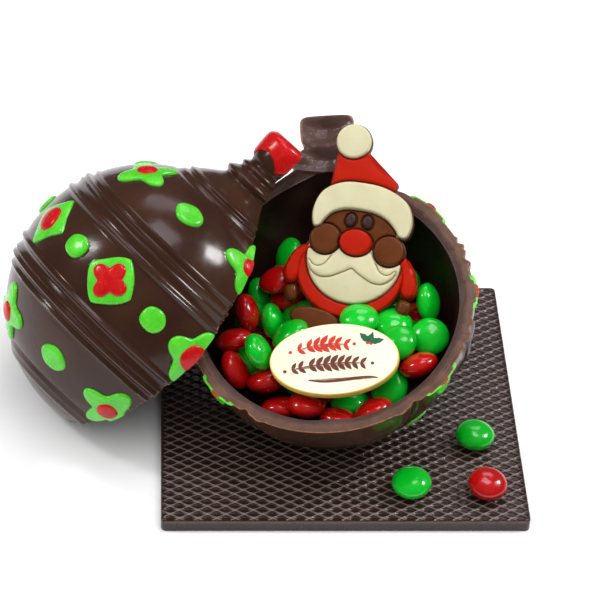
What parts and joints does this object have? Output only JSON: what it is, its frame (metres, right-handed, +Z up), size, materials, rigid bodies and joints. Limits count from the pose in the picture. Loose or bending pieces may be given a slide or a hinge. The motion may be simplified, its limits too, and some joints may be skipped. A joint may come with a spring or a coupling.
{
  "type": "chocolate bauble",
  "caption": "Hollow dark chocolate bauble, opened, on an embossed chocolate slab; the lower half shell holds sugar-coated candies, an oval plaque and a moulded bearded figure.",
  "frame": {"origin": "middle of the slab's flat underside", "axes": "+Z up, -Y towards the viewer, +X to the viewer's right along the slab's front edge"},
  "size_m": [0.1727, 0.1242, 0.0907],
  "materials": {
    "dark_chocolate": "tempered dark chocolate with a moulded gloss; the raised ornaments are brushed with green and red coloured cocoa butter",
    "candy_green": "polished green sugar shell",
    "candy_red": "polished red sugar shell",
    "white_chocolate": "satin ivory chocolate with a printed face",
    "coloured_chocolate": "moulded coloured chocolate in orange-red, cream and milk brown"
  },
  "bodies": {
    "root": {"chocolate_slab": "dark_chocolate", "bowl_half": "dark_chocolate", "lid_half": "dark_chocolate", "candy_heap": "candy_green", "plaque": "white_chocolate", "bearded_figure": "coloured_chocolate", "loose_candy_1": "candy_green", "loose_candy_2": "candy_green", "loose_candy_3": "candy_red"}
  },
  "joints": []
}
